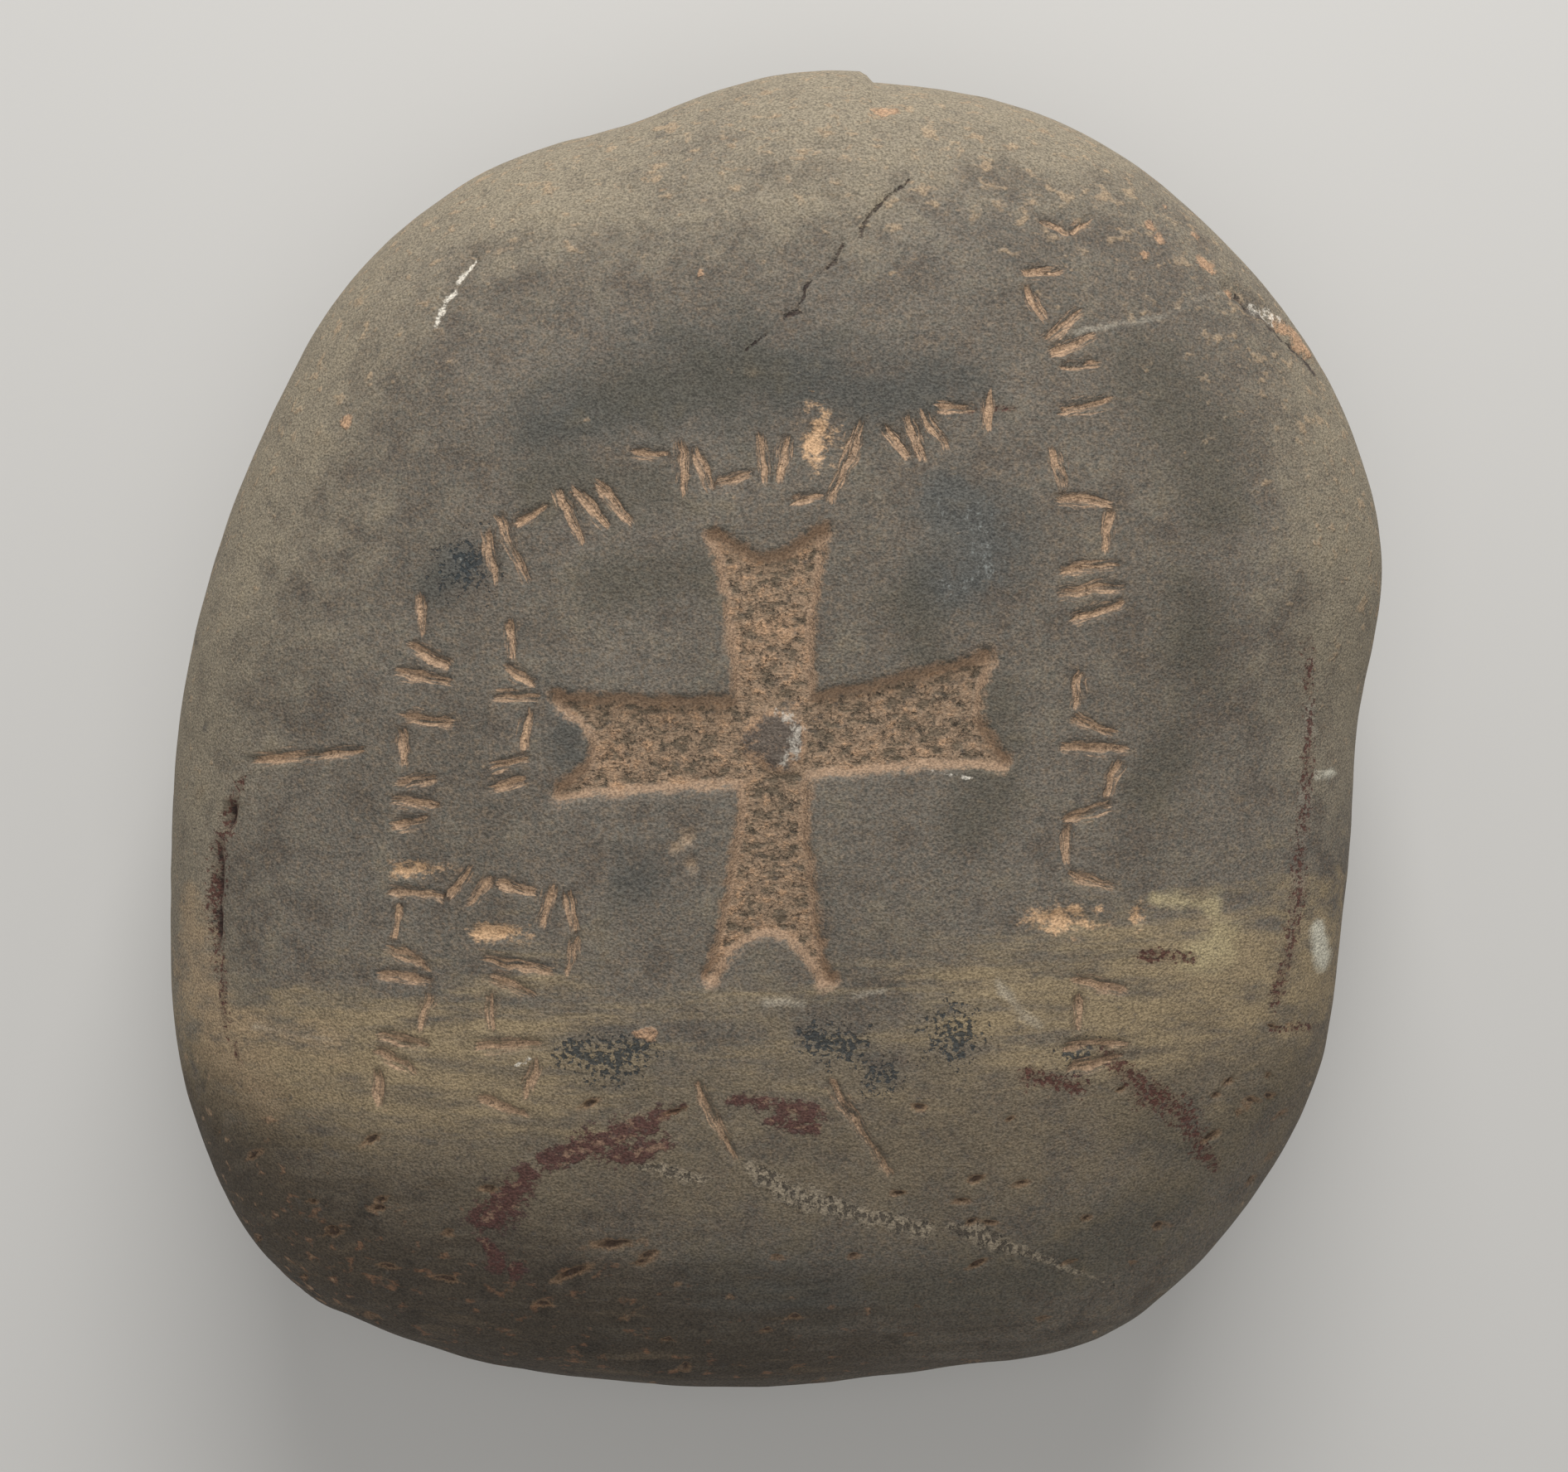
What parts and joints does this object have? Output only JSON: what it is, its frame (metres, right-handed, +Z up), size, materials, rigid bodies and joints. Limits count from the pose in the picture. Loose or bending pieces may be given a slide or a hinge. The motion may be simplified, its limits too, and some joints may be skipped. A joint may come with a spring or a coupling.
{
  "type": "cross-carved gravestone",
  "caption": "Rounded river cobble used as a gravestone, its face cut with a fishtail-armed cross and rows of short chiselled strokes.",
  "frame": {"origin": "on the ground, under the middle of the cobble as it lies on its back", "axes": "+Z up out of the carved face, +Y towards the top of the gravestone, +X to its right as it is read"},
  "size_m": [0.277, 0.3, 0.12],
  "materials": {
    "cobble_stone": "river-worn skin, dull, with tan chiselled carving"
  },
  "bodies": {
    "root": {"gravestone": "cobble_stone"}
  },
  "joints": []
}
